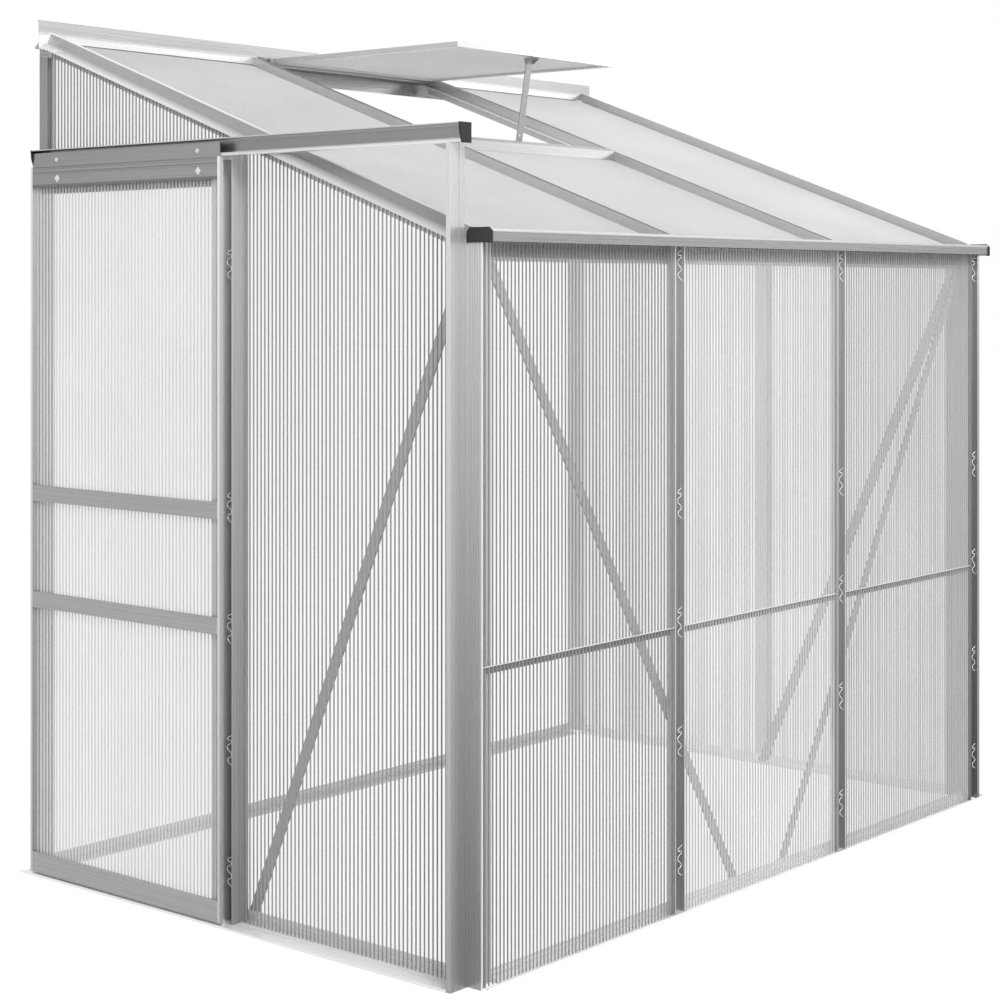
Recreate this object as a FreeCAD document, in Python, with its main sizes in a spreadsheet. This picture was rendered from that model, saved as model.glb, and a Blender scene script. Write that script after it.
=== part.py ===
import FreeCAD, Part
import os
import re
import Sketcher

# Lean-to greenhouse with three front bays, a sliding door in the left gable and a roof vent.
# Millimetres. +X runs along the front, +Y towards the wall, +Z up. The formulas below count x from the
# outer face of the left gable, y from the outer face of the front and z from the ground. Every piece is
# then moved by the same amount, so that the origin lies under the middle of the bounding box.

V = FreeCAD.Vector
doc = FreeCAD.newDocument("LeanToGreenhouse")
sheet = doc.addObject("Spreadsheet::Sheet", "Sizes")

# Driving dimensions
SIZES = {
    "length": 1900,
    "depth": 1270,
    "eave_z": 1365,
    "ridge_z": 1831,
    "post_left_x": 616,
    "post_right_x": 1243,
    "gable_post_y": 628,
    "jamb_y": 647,
    # Extruded bars: an open channel with a seat for a pane on each side
    "bar_width": 34,
    "bar_depth": 20,
    "wall": 2,
    "seat_width": 8,
    # Twin-wall sheet and the gap round its edges
    "pane": 4,
    "pane_inset": 2,
    "gap": 0.5,
    # Corner posts
    "nose_width": 9,
    "front_edge": 2.5,
    "cheek_width": 34,
    "front_leg": 40,
    "gable_leg": 60,
    "right_channel": 34,
    "rear_cheek": 28,
    "rear_leg": 40,
    "fin_width": 8,
    # Base rails
    "floor_width": 36,
    "upstand_height": 24,
    "front_ledge": 9,
    "right_ledge": 17,
    "sill_ledge": 50,
    "lip_height": 5,
    "guide_height": 14,
    "guide_x": 34,
    # Eave rail with its gutter
    "gutter_reach": 24,
    "gutter_top_z": 1370,
    "gutter_height": 23,
    "trough_back_y": 10,
    "trough_back_height": 12,
    "eave_web_z": 1312,
    "eave_lip": 12,
    "cap_thick": 3,
    "cap_margin": 3,
    "cap_chamfer": 8,
    "cap_drop": 3,
    # Rafters and ridge rail
    "rafter_start_y": 28,
    "rafter_face": 41,
    "rafter_slant": 21,
    "rafter_top": 12,
    "rafter_depth": 28,
    "rafter_back": 52,
    "roof_seat": 26,
    "mid_rafter_half": 10,
    "mid_rafter_drop": 3,
    "mid_rafter_depth": 46,
    "ridge_over": 24,
    "ridge_reach": 30,
    "ridge_rise": 13,
    "ridge_hook": 7,
    "ridge_tail": 61,
    "ridge_foot": 45,
    "ridge_foot_fall": 11,
    "ridge_foot_thick": 5,
    "ridge_leg_rise": 12,
    "ridge_leg": 17,
    "wall_plate_drop": 66,
    "wall_hole_radius": 3.5,
    "wall_hole_rise": 21,
    "wall_hole_outer": 1600,
    "wall_hole_inner": 700,
    # Strips between lower and upper front panes
    "strip_z": 573,
    "strip_height": 14.5,
    "strip_thick": 1.5,
    # Braces
    "brace_width": 27,
    "brace_thick": 2,
    "brace_top_z": 1310,
    "brace_foot_z": 5,
    "brace_front_left_top": 34,
    "brace_front_left_foot": 865,
    "brace_front_right_top": 87,
    "brace_front_right_foot": 893,
    "brace_gable_top": 72,
    "brace_gable_shift": 8,
    # Door
    "door_overlap": 21,
    "door_rear_inset": 27,
    "door_face_x": 45,
    "door_bottom_z": 8,
    "stile_face": 7,
    "stile_flange": 22,
    "rail_height": 34.5,
    "rail_thick": 4,
    "upper_rail_z": 805.5,
    "lower_rail_z": 577,
    "bottom_rail_height": 43,
    "top_rail_height": 45,
    "top_rail_grip": 20,
    "top_rail_flange": 14,
    "hanger_height": 29,
    "bead_height": 4,
    "bead_drop": 10,
    "groove_first": 1,
    "groove_height": 6,
    "groove_pitch": 11,
    "groove_depth": 2,
    "door_clearance": 1,
    # Door track and its support
    "track_reach": 50,
    "track_back_x": 21,
    "track_lip_x": 42.5,
    "track_lip_thick": 1.5,
    "track_lip_height": 6,
    "track_drop": 19,
    "track_height": 35,
    "track_front_y": 12,
    "track_rear_inset": 37,
    "track_cap": 4,
    "support_outer_x": 47.5,
    "support_depth": 10,
    "support_bead_x": 22,
    "rear_support_x": 24,
    "rear_support_inset": 8,
    "rear_support_width": 40,
    "jamb_proud": 23.5,
    "jamb_tab": 7,
    "bracket_width": 26,
    "bracket_height": 18,
    # Rollers
    "roller_front_inset": 64,
    "roller_rear_inset": 91,
    "roller_radius": 10,
    "roller_width": 6,
    "roller_gap": 2.5,
    "side_play": 0.3,
    "running_gap": 0.05,
    "axle_radius": 3,
    "axle_head_radius": 4.5,
    "axle_head": 2.5,
    "nut_side": 12,
    "nut_tip": 2,
    "nut_height": 5,
    "nut_drop": 27,
    # Roof vent
    "vent_hinge_inset": 65,
    "vent_length": 585,
    "vent_gap": 9,
    "vent_bar": 18,
    "vent_rear": 3.5,
    "vent_thick": 11.4,
    "vent_lap": 2,
    "vent_open": 20,
    "header_gap": 9,
    "header_width": 24,
    "cross_depth": 9,
    "ear_radius": 5.5,
    "hinge_pin": 3,
    "vent_sill_gap": 1.8,
    "vent_sill_width": 22,
    "vent_sill_step": 10,
    "peg_radius": 3,
    "peg_drop": 32,
    "lug_width": 24,
    # Stay
    "stay_inset": 30,
    "stay_length": 245,
    "stay_width": 20,
    "stay_thick": 3,
    "stay_lean": 9.5,
    "stay_pin": 2.5,
    "stay_drop": 8,
    "stay_cheek": 2,
    "stay_hole_pitch": 45,
    # Fasteners
    "bolt_radius": 6,
    "bolt_height": 4,
    # Wire clips in the channels
    "clip_wire": 1.6,
    "clip_stroke": 62,
    "clip_pitch": 241,
    "clip_first_z": 74,
    "clip_inset": 4,
}

# Lengths and places that follow from the driving dimensions
FORMULAS = {
    "origin_x": "(length + ridge_over - sill_ledge) / 2",
    "origin_y": "(depth - gutter_reach - cap_margin) / 2",
    "slope": "(ridge_z - eave_z) / depth",
    "half_bar": "bar_width / 2",
    "seat": "pane_inset + pane",
    "seat_back": "seat + wall",
    "edge": "half_bar + gap",
    "front_leg_end": "nose_width + front_leg",
    "gable_leg_end": "bar_depth + wall + gable_leg",
    "right_nose": "nose_width + wall + right_channel",
    "right_leg_end": "right_nose + seat_width",
    "gutter_floor_z": "gutter_top_z - gutter_height",
    "pane_top_z": "gutter_floor_z - gap",
    "ridge_face_y": "depth - ridge_reach",
    "ridge_top_z": "ridge_z + ridge_rise",
    "wall_plate_z": "ridge_z - wall_plate_drop",
    "wall_hole_z": "wall_plate_z + wall_hole_rise",
    "brace_gable_foot": "gable_post_y + brace_gable_shift",
    "strip_low": "strip_z - strip_height / 2",
    "web_high": "strip_low + strip_height",
    "web_low": "web_high - strip_thick",
    "door_start_y": "jamb_y + half_bar - door_overlap",
    "door_end_y": "depth - door_rear_inset",
    "door_width": "door_end_y - door_start_y",
    "track_rear_y": "depth - track_rear_inset",
    "track_z": "eave_z + slope * (jamb_y - half_bar) - rafter_back - track_drop",
    "rail_back_x": "door_face_x - rail_thick",
    "door_pane_x": "rail_back_x - pane",
    "door_top_z": "track_z - door_clearance",
    "roller_z": "track_z + wall + roller_radius + running_gap",
    "roller_front_y": "door_start_y + roller_front_inset",
    "roller_rear_y": "door_end_y - roller_rear_inset",
    "roller_out_x": "door_face_x - wall - roller_gap",
    "roller_in_x": "roller_out_x - roller_width",
    "bay_left_x": "post_left_x + half_bar",
    "bay_right_x": "post_right_x - half_bar",
    "vent_left_x": "bay_left_x + vent_gap",
    "vent_right_x": "bay_right_x - vent_gap",
    "vent_hinge_y": "depth - vent_hinge_inset",
    "vent_hinge_z": "eave_z + slope * vent_hinge_y",
    "vent_sill_y": "vent_hinge_y - vent_length * cos(atan(slope)) - vent_sill_gap - vent_sill_width",
    "vent_middle_x": "(post_left_x + post_right_x) / 2",
    "vent_tilt": "atan(slope) - vent_open * 1 deg",
    "stay_reach": "vent_length - stay_inset",
    "stay_drop_z": "vent_thick / 2 + stay_drop",
    "stay_pivot_y": "vent_hinge_y - stay_reach * cos(vent_tilt) + stay_drop_z * sin(vent_tilt)",
    "stay_pivot_z": "vent_hinge_z - stay_reach * sin(vent_tilt) - stay_drop_z * cos(vent_tilt)",
    "sill_back_y": "vent_sill_y + vent_sill_width + vent_sill_step",
    "peg_z": "eave_z + slope * sill_back_y - peg_drop",
    "peg_tip_y": "stay_pivot_y + tan(stay_lean * 1 deg) * (stay_pivot_z - peg_z) - stay_thick / 2 - 2 * gap",
}

for row, (alias, number) in enumerate(SIZES.items(), start=1):
    sheet.set(f"A{row}", alias)
    sheet.set(f"B{row}", str(number))
    sheet.setAlias(f"B{row}", alias)
doc.recompute()


def formula(text):
    """Spell a formula out in the sheet's cells."""
    def swap(match):
        name = match.group(0)
        if name in FORMULAS:
            return "(" + formula(FORMULAS[name]) + ")"
        if name in SIZES:
            return "Sizes." + name
        return name
    return re.sub(r"[a-z_]+", swap, str(text))


def value(text):
    """The number that a formula has now."""
    return float(sheet.evalExpression(formula(text)))


def roof(y):
    """Height of the roof line over a depth y."""
    return f"eave_z + slope * ({y})"


def bind(obj, prop, text):
    obj.setExpression(prop, formula(text))


def place(obj, x, y, z):
    """Move a piece to a point given from the greenhouse's front left corner."""
    bind(obj, "Placement.Base.x", f"{x} - origin_x")
    bind(obj, "Placement.Base.y", f"{y} - origin_y")
    bind(obj, "Placement.Base.z", z)


def tilt(obj, angle):
    """Turn a piece about its own X axis."""
    obj.Placement.Rotation = FreeCAD.Rotation(V(1, 0, 0), 1)
    bind(obj, "Placement.Rotation.Angle", angle)


# The three bays of the front, left to right: from and to across the greenhouse
FRONT_BAYS = {
    "left": ("front_edge", "post_left_x - half_bar"),
    "middle": ("bay_left_x", "bay_right_x"),
    "right": ("post_right_x + half_bar", "length - right_nose"),
}

# The door's two rollers
ROLLER_PLACES = {"front": "roller_front_y", "rear": "roller_rear_y"}

# Clips sit at these multiples of their pitch up each channel
CLIP_STEPS = (0, 1, 2, 3, 5)

PIECES = []


def keep(obj, label):
    obj.Label = label
    PIECES.append(obj)
    return obj


def keep_together(label, parts):
    """One piece made of several like solids."""
    keep(doc.addObject("Part::Compound", label), label).Links = parts


def box(label, corner, size):
    piece = keep(doc.addObject("Part::Box", label), label)
    for prop, text in zip(("Length", "Width", "Height"), size):
        bind(piece, prop, text)
    place(piece, *corner)
    return piece


def attach(body, plane, name, start):
    """A sketch on one of the body's own planes, moved off it along the direction that pads take."""
    sketch = body.newObject("Sketcher::SketchObject", name)
    support = [feature for feature in body.Origin.OriginFeatures if feature.Role == plane][0]
    sketch.AttachmentSupport = [(support, "")]
    sketch.MapMode = "FlatFace"
    side = "-" if plane == "XZ_Plane" else ""
    bind(sketch, "AttachmentOffset.Base.z", f"{side}({start})")
    return sketch


def pin_down(sketch, geometry, point, a, b):
    for kind, text in (("DistanceX", a), ("DistanceY", b)):
        number = sketch.addConstraint(Sketcher.Constraint(kind, -1, 1, geometry, point, value(text)))
        bind(sketch, f"Constraints[{number}]", text)


def draw_ring(sketch, points):
    """A closed outline. Each corner is bound to its two formulas."""
    first = sketch.GeometryCount
    spots = [V(value(a), value(b), 0) for a, b in points]
    for k, spot in enumerate(spots):
        sketch.addGeometry(Part.LineSegment(spot, spots[(k + 1) % len(spots)]))
    for k in range(len(points)):
        following = first + (k + 1) % len(points)
        sketch.addConstraint(Sketcher.Constraint("Coincident", first + k, 2, following, 1))
    for k, (a, b) in enumerate(points):
        pin_down(sketch, first + k, 1, a, b)


def draw_circle(sketch, a, b, radius):
    index = sketch.addGeometry(Part.Circle(V(value(a), value(b), 0), V(0, 0, 1), value(radius)))
    pin_down(sketch, index, 3, a, b)
    number = sketch.addConstraint(Sketcher.Constraint("Radius", index, value(radius)))
    bind(sketch, f"Constraints[{number}]", radius)


def next_tag(body):
    return f"{body.Name}_{len(body.Group)}"


def finish_pad(body, sketch, plane, length, rise):
    pad = body.newObject("PartDesign::Pad", f"Pad_{next_tag(body)}")
    pad.Profile = sketch
    if plane == "XZ_Plane":
        pad.UseCustomVector = True
        pad.Direction = V(0, 1, 0)
        pad.AlongSketchNormal = True
        bind(pad, "Direction.z", rise)
    bind(pad, "Length", length)
    sketch.Visibility = False


def add_pad(body, plane, points, length, start="0", hole=None, rise="0"):
    sketch = attach(body, plane, f"Sketch_{next_tag(body)}", start)
    draw_ring(sketch, points)
    if hole:
        draw_ring(sketch, hole)
    finish_pad(body, sketch, plane, length, rise)


def add_pin(body, plane, a, b, radius, length, start="0"):
    sketch = attach(body, plane, f"Sketch_{next_tag(body)}", start)
    draw_circle(sketch, a, b, radius)
    finish_pad(body, sketch, plane, length, "0")


def add_bore(body, plane, centres, radius, depth, start="0"):
    """Round holes cut both ways from a plane, over the depth in all."""
    sketch = attach(body, plane, f"Sketch_{next_tag(body)}", start)
    for a, b in centres:
        draw_circle(sketch, a, b, radius)
    pocket = body.newObject("PartDesign::Pocket", f"Pocket_{next_tag(body)}")
    pocket.Profile = sketch
    pocket.Midplane = True
    bind(pocket, "Length", depth)
    sketch.Visibility = False


def loose_body(name, x, y, z):
    """A body that goes into one of the compounds."""
    body = doc.addObject("PartDesign::Body", name)
    place(body, x, y, z)
    return body


def new_body(label, x, y, z):
    return keep(loose_body(label, x, y, z), label)


def extruded(label, plane, points, length, corner, hole=None, rise="0"):
    """One section padded along X, Y or Z, or along Y and up the roof."""
    body = new_body(label, *corner)
    add_pad(body, plane, points, length, hole=hole, rise=rise)
    return body


def rectangle(a_low, a_high, b_low, b_high):
    return [(a_low, b_low), (a_high, b_low), (a_high, b_high), (a_low, b_high)]


def rewritten(points, first, second):
    """Corners (a, b) rewritten by two patterns, such as '-({a})'."""
    return [(first.format(a=a, b=b), second.format(a=a, b=b)) for a, b in points]


def channel():
    """Section of a bar: a runs across it, b inwards from its lips."""
    right = [
        ("half_bar - wall", "bar_depth - wall"), ("half_bar - wall", "0"), ("half_bar", "0"),
        ("half_bar", "seat"), ("half_bar + seat_width", "seat"),
        ("half_bar + seat_width", "seat + wall"), ("half_bar", "seat + wall"),
        ("half_bar", "bar_depth"),
    ]
    left = [(f"-({a})", b) for a, b in reversed(right)]
    return right + left


def make_base_rails():
    inner = "bar_depth + wall"
    floor = [
        ("0", "0"), ("floor_width", "0"), ("floor_width", "wall"), (inner, "wall"),
        (inner, "upstand_height"), ("bar_depth", "upstand_height"), ("bar_depth", "wall"), ("0", "wall"),
    ]

    def ledge(reach):
        return [
            ("0", "0"), ("0", "wall"), (f"wall - {reach}", "wall"), (f"wall - {reach}", "lip_height"),
            (f"-{reach}", "lip_height"), (f"-{reach}", "0"),
        ]

    ledge_start = "nose_width + gap"
    front = new_body("base_rail_front", ledge_start, "0", "0")
    add_pad(front, "YZ_Plane", floor, "length - front_leg_end - right_leg_end",
            f"front_leg_end - ({ledge_start})")
    add_pad(front, "YZ_Plane", ledge("front_ledge"), f"length + right_ledge - ({ledge_start})")

    rear = [
        ("0", "0"), ("0", "upstand_height"), ("-wall", "upstand_height"), ("-wall", "wall"),
        ("-floor_width", "wall"), ("-floor_width", "0"),
    ]
    extruded("base_rail_rear", "YZ_Plane", rear, "length - 2 * rear_leg", ("rear_leg", "depth", "0"))

    side_run = "depth - floor_width - gable_leg_end"
    ledge_start = "cheek_width + support_depth"
    sill = new_body("door_sill", "0", ledge_start, "0")
    add_pad(sill, "XZ_Plane", floor, side_run, f"gable_leg_end - ({ledge_start})")
    add_pad(sill, "XZ_Plane", ledge("sill_ledge"), f"depth - ({ledge_start})")
    guide = rectangle("-guide_x", "wall - guide_x", "wall", "guide_height")
    add_pad(sill, "XZ_Plane", guide, "door_end_y - door_start_y", f"door_start_y - ({ledge_start})")

    right = new_body("base_rail_right", "length", "0", "0")
    flipped = rewritten(floor, "-({a})", "{b}")
    add_pad(right, "XZ_Plane", flipped, side_run, "gable_leg_end")
    add_pad(right, "XZ_Plane", rewritten(ledge("right_ledge"), "-({a})", "{b}"), "depth")


def make_corner_posts():
    seat_out = "cheek_width + seat_width"
    gable_side = [
        ("bar_depth + wall", "bar_depth + wall"), ("bar_depth + wall", "gable_leg_end"),
        ("bar_depth", "gable_leg_end"), ("bar_depth", "bar_depth + wall"),
        ("nose_width", "bar_depth + wall"), ("nose_width", "cheek_width"), ("seat_back", "cheek_width"),
        ("seat_back", seat_out), ("seat", seat_out), ("seat", "cheek_width"),
    ]
    fin = [
        ("seat", "cheek_width + wall"), ("-fin_width", "cheek_width + wall"), ("-fin_width", "cheek_width"),
    ]
    left = [
        ("0", "0"), ("front_edge", "0"), ("front_edge", "seat"), ("nose_width + seat_width", "seat"),
        ("nose_width + seat_width", "seat_back"), ("nose_width", "seat_back"), ("nose_width", "bar_depth"),
        ("front_leg_end", "bar_depth"), ("front_leg_end", "bar_depth + wall"),
    ]
    hollow = rectangle("wall", "nose_width - wall", "seat_back", "cheek_width - wall")
    outline = left + gable_side[:-1] + fin + [("0", "cheek_width")]
    extruded("corner_post_front_left", "XY_Plane", outline, "gutter_floor_z", ("0", "0", "0"), hole=hollow)
    right = [
        ("0", "0"), ("nose_width + wall", "0"), ("nose_width + wall", "bar_depth - wall"),
        ("right_nose - wall", "bar_depth - wall"), ("right_nose - wall", "0"), ("right_nose", "0"),
        ("right_nose", "seat"), ("right_leg_end", "seat"), ("right_leg_end", "seat_back"),
        ("right_nose", "seat_back"), ("right_nose", "bar_depth + wall"),
    ]
    outline = right + gable_side + [("0", "cheek_width")]
    extruded("corner_post_front_right", "XY_Plane", rewritten(outline, "-({a})", "{b}"), "gutter_floor_z",
             ("length", "0", "0"), hole=rewritten(hollow, "-({a})", "{b}"))
    rear = [
        ("0", "0"), ("rear_leg", "0"), ("rear_leg", "-wall"), ("nose_width", "-wall"),
        ("nose_width", "-rear_cheek"), ("seat_back", "-rear_cheek"),
        ("seat_back", "-rear_cheek - seat_width"),
        ("seat", "-rear_cheek - seat_width"), ("seat", "-rear_cheek"), ("0", "-rear_cheek"),
    ]
    hollow = rectangle("wall", "nose_width - wall", "wall - rear_cheek", "-wall")
    extruded("corner_post_rear_left", "XY_Plane", rear, "wall_plate_z", ("0", "depth", "0"), hole=hollow)
    extruded("corner_post_rear_right", "XY_Plane", rewritten(rear, "-({a})", "{b}"), "wall_plate_z",
             ("length", "depth", "0"), hole=rewritten(hollow, "-({a})", "{b}"))


def make_posts():
    front_run = "gutter_floor_z - wall"
    for side in ("left", "right"):
        extruded(f"front_post_{side}", "XY_Plane", channel(), front_run, (f"post_{side}_x", "0", "wall"))

    def under_rafter(y):
        return roof(f"{y} - half_bar - seat_width") + " - rafter_back - wall"

    jamb = extruded("door_jamb_post", "XY_Plane", rewritten(channel(), "{b}", "{a}"), under_rafter("jamb_y"),
                    ("0", "jamb_y", "wall"))
    for side in ("-", ""):
        cheek = rectangle("-jamb_proud", "bar_depth", f"{side}half_bar", f"{side}(half_bar - wall)")
        add_pad(jamb, "XY_Plane", cheek, "track_z - wall")
    extruded("gable_post_right", "XY_Plane", rewritten(channel(), "-({b})", "{a}"),
             under_rafter("gable_post_y"), ("length", "gable_post_y", "wall"))
    support = [
        ("-support_outer_x", "0"), ("-support_bead_x - wall / 2", "0"),
        ("-support_bead_x - wall / 2", "-gap"), ("-support_bead_x + wall / 2", "-gap"),
        ("-support_bead_x + wall / 2", "0"), ("-fin_width", "0"), ("-fin_width", "support_depth"),
        ("-fin_width - wall", "support_depth"), ("-fin_width - wall", "wall"),
        ("wall - support_outer_x", "wall"), ("wall - support_outer_x", "support_depth"),
        ("-support_outer_x", "support_depth"),
    ]
    extruded("track_support_post", "XY_Plane", support, "track_z", ("0", "cheek_width", "0"))
    rear = [
        ("-rear_support_x", "0"), ("0", "0"), ("0", "rear_support_width"),
        ("-rear_support_x", "rear_support_width"), ("-rear_support_x", "rear_support_width - wall"),
        ("-wall", "rear_support_width - wall"), ("-wall", "wall"), ("-rear_support_x", "wall"),
    ]
    extruded("track_support_rear", "XY_Plane", rear, "track_z - wall",
             ("0", "depth - rear_support_inset - rear_support_width", "wall"))


def make_eave():
    trough = [
        ("-gutter_reach", "0"), ("trough_back_y + wall", "0"),
        ("trough_back_y + wall", "trough_back_height"), ("trough_back_y", "trough_back_height"),
        ("trough_back_y", "wall"), ("wall - gutter_reach", "wall"),
        ("wall - gutter_reach", "gutter_height - wall"), ("2 * wall - gutter_reach", "gutter_height - wall"),
        ("2 * wall - gutter_reach", "gutter_height"), ("wall - gutter_reach", "gutter_height"),
        ("-gutter_reach", "gutter_height - wall"),
    ]
    drop = "gutter_floor_z - eave_web_z"
    web = [
        ("trough_back_y + wall", "0"), ("bar_depth", "0"), ("bar_depth", f"-({drop})"),
        ("bar_depth + eave_lip", f"-({drop})"), ("bar_depth + eave_lip", f"wall - ({drop})"),
        ("bar_depth + wall", f"wall - ({drop})"), ("bar_depth + wall", "wall"),
        ("trough_back_y + wall", "wall"),
    ]
    rail = new_body("eave_gutter", "0", "0", "gutter_floor_z")
    add_pad(rail, "YZ_Plane", trough, "length")
    add_pad(rail, "YZ_Plane", web, "length - front_leg_end - right_leg_end", "front_leg_end")
    low = "-gutter_reach - cap_margin"
    cap = [
        ("cheek_width - gap", "-wall"), ("cheek_width - gap", "gutter_height - cap_chamfer / 2"),
        ("cheek_width - cap_chamfer", "gutter_height + cap_margin"),
        (f"{low} + cap_chamfer", "gutter_height + cap_margin"), (low, "gutter_height - cap_chamfer / 2"),
        (low, "-cap_drop"), (f"{low} + cap_chamfer", "-cap_drop"), (f"{low} + cap_chamfer", "-wall"),
    ]
    ends = []
    for x in ("-cap_thick", "length"):
        body = loose_body("gutter_cap", x, "0", "gutter_floor_z")
        add_pad(body, "YZ_Plane", cap, "cap_thick")
        ends.append(body)
    keep_together("gutter_caps", ends)


def make_ridge():
    top = "ridge_top_z - wall_plate_z"
    low = roof("ridge_face_y + wall") + " - roof_seat + pane + gap - wall_plate_z"
    front = "-ridge_reach"
    section = [
        ("0", "0"), ("0", top), (front, top), (front, low), (f"{front} + wall", low),
        (f"{front} + wall", f"{top} - wall"), ("-wall", f"{top} - wall"), ("-wall", "0"),
    ]
    tail = f"{top} - ridge_tail"
    foot = f"{front} - ridge_foot"
    foot_end = f"{tail} - ridge_foot_fall"
    leg = f"{front} + ridge_leg"
    end_section = [
        (f"{front} + ridge_hook", top), (front, top), (front, f"{tail} + ridge_foot_thick"),
        (foot, f"{foot_end} + ridge_foot_thick"), (foot, foot_end), (f"{front} + wall", tail),
        (f"{front} + wall", f"{tail} + ridge_leg_rise"), (leg, tail), (leg, f"{tail} + wall"),
        (f"{front} + wall", f"{tail} + ridge_leg_rise + wall"), (f"{front} + wall", f"{top} - wall"),
        (f"{front} + ridge_hook", f"{top} - wall"),
    ]
    rail = extruded("ridge_rail", "YZ_Plane", section, "length", ("0", "depth", "wall_plate_z"))
    for first in ("-ridge_over", "length"):
        add_pad(rail, "YZ_Plane", end_section, "ridge_over", first)
    middle = "length / 2"
    spots = []
    for spread in ("wall_hole_outer", "wall_hole_inner"):
        for sign in "-+":
            spots.append((f"{middle} {sign} {spread} / 2", "wall_hole_z - wall_plate_z"))
    add_bore(rail, "XZ_Plane", spots, "wall_hole_radius", "4 * wall")


def make_rafters():
    run = "ridge_face_y - rafter_start_y"
    start = ("rafter_start_y", roof("rafter_start_y"))
    flange = "-roof_seat - wall"
    tube = [
        ("0", "-rafter_depth"), ("rafter_top + seat_width", "-rafter_depth"),
        ("rafter_top + seat_width", "-roof_seat"), ("rafter_top", "-roof_seat"), ("rafter_top", "0"),
        ("rafter_top - wall", "0"), ("0", "-rafter_slant"),
    ]
    hollow = [
        ("wall", "wall - rafter_depth"), ("rafter_top - wall", "wall - rafter_depth"),
        ("rafter_top - wall", "-2 * wall"), ("wall", "-rafter_slant"),
    ]
    face = rectangle("0", "wall", "-rafter_face", "-rafter_depth")
    lip = rectangle("seat", "seat_back", "-rafter_back", "-rafter_depth")
    sides = (
        ("left", "0", "{a}", "cheek_width + wall"),
        ("right", "length", "-({a})", "cheek_width"),
    )
    for side, x, pattern, cheek_back in sides:
        body = new_body(f"rafter_gable_{side}", x, *start)
        add_pad(body, "XZ_Plane", rewritten(tube, pattern, "{b}"), run,
                hole=rewritten(hollow, pattern, "{b}"), rise="slope")
        for strip, first in ((face, cheek_back), (lip, "cheek_width + seat_width")):
            late = f"{first} - rafter_start_y"
            raised = rewritten(strip, pattern, f"{{b}} + slope * ({late})")
            add_pad(body, "XZ_Plane", raised, f"ridge_face_y - ({first})", late, rise="slope")
    half = [
        ("mid_rafter_half - wall", "-roof_seat"), ("mid_rafter_half - wall", "-mid_rafter_drop"),
        ("mid_rafter_half", "-mid_rafter_drop"), ("mid_rafter_half", "-roof_seat"),
        ("half_bar + seat_width", "-roof_seat"), ("half_bar + seat_width", flange),
        ("mid_rafter_half", flange), ("mid_rafter_half", "-mid_rafter_depth"),
    ]
    section = half + [(f"-({a})", b) for a, b in reversed(half)]
    hollow = rectangle("wall - mid_rafter_half", "mid_rafter_half - wall", "wall - mid_rafter_depth", flange)
    for side in ("left", "right"):
        extruded(f"rafter_{side}", "XZ_Plane", section, "ridge_face_y - bar_depth - wall",
                 (f"post_{side}_x", "bar_depth + wall", roof("bar_depth + wall")), hole=hollow, rise="slope")


def make_vent_cross_bars():
    low_x = "post_left_x + mid_rafter_half"
    run = "post_right_x - post_left_x - 2 * mid_rafter_half"

    def over(y, level):
        return (y, f"slope * ({y}) + ({level})")

    back = "vent_sill_width + vent_sill_step"
    sill_points = [
        over("0", "pane - roof_seat"), over("wall", "pane - roof_seat"), over("wall", "-cross_depth"),
        over(back, "-cross_depth"), over(back, "wall - cross_depth"),
        over("vent_sill_width", "wall - cross_depth"), over("vent_sill_width", "0"), over("0", "0"),
    ]
    sill = extruded("vent_sill", "YZ_Plane", sill_points, run, (low_x, "vent_sill_y", roof("vent_sill_y")))
    lug_y = "vent_sill_width - wall"
    peg = (f"vent_middle_x - ({low_x})", f"peg_z - ({roof('vent_sill_y')})")
    lug = [(lug_y, f"{peg[1]} - 2 * peg_radius"), ("vent_sill_width", f"{peg[1]} - 2 * peg_radius"),
           over("vent_sill_width", "-cross_depth"), over(lug_y, "-cross_depth")]
    add_pad(sill, "YZ_Plane", lug, "lug_width", f"{peg[0]} - lug_width / 2")
    add_pin(sill, "XZ_Plane", *peg, "peg_radius", "peg_tip_y - vent_sill_y - vent_sill_width",
            "vent_sill_width")
    header_points = [
        over("header_gap", "-cross_depth"), over("header_gap + header_width", "-cross_depth"),
        over("header_gap + header_width", "0"), over("header_gap", "0"),
    ]
    header = extruded("vent_header", "YZ_Plane", header_points, run, (low_x, "vent_hinge_y", "vent_hinge_z"))
    back = "header_gap + header_width"
    ear = [
        ("-ear_radius", "-ear_radius / 2"), ("-ear_radius / 2", "-ear_radius"), ("0", "-ear_radius"),
        over(back, "-ear_radius"), over(back, "0"), over("header_gap", "0"), ("ear_radius / 2", "ear_radius"),
        ("-ear_radius / 2", "ear_radius"), ("-ear_radius", "ear_radius / 2"),
    ]
    ear_run = f"vent_left_x - side_play - ({low_x})"
    add_pad(header, "YZ_Plane", ear, ear_run)
    add_pad(header, "YZ_Plane", ear, ear_run, f"{run} - ({ear_run})")
    add_bore(header, "YZ_Plane", [("0", "0")], "hinge_pin + running_gap", "4 * (length)")


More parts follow.
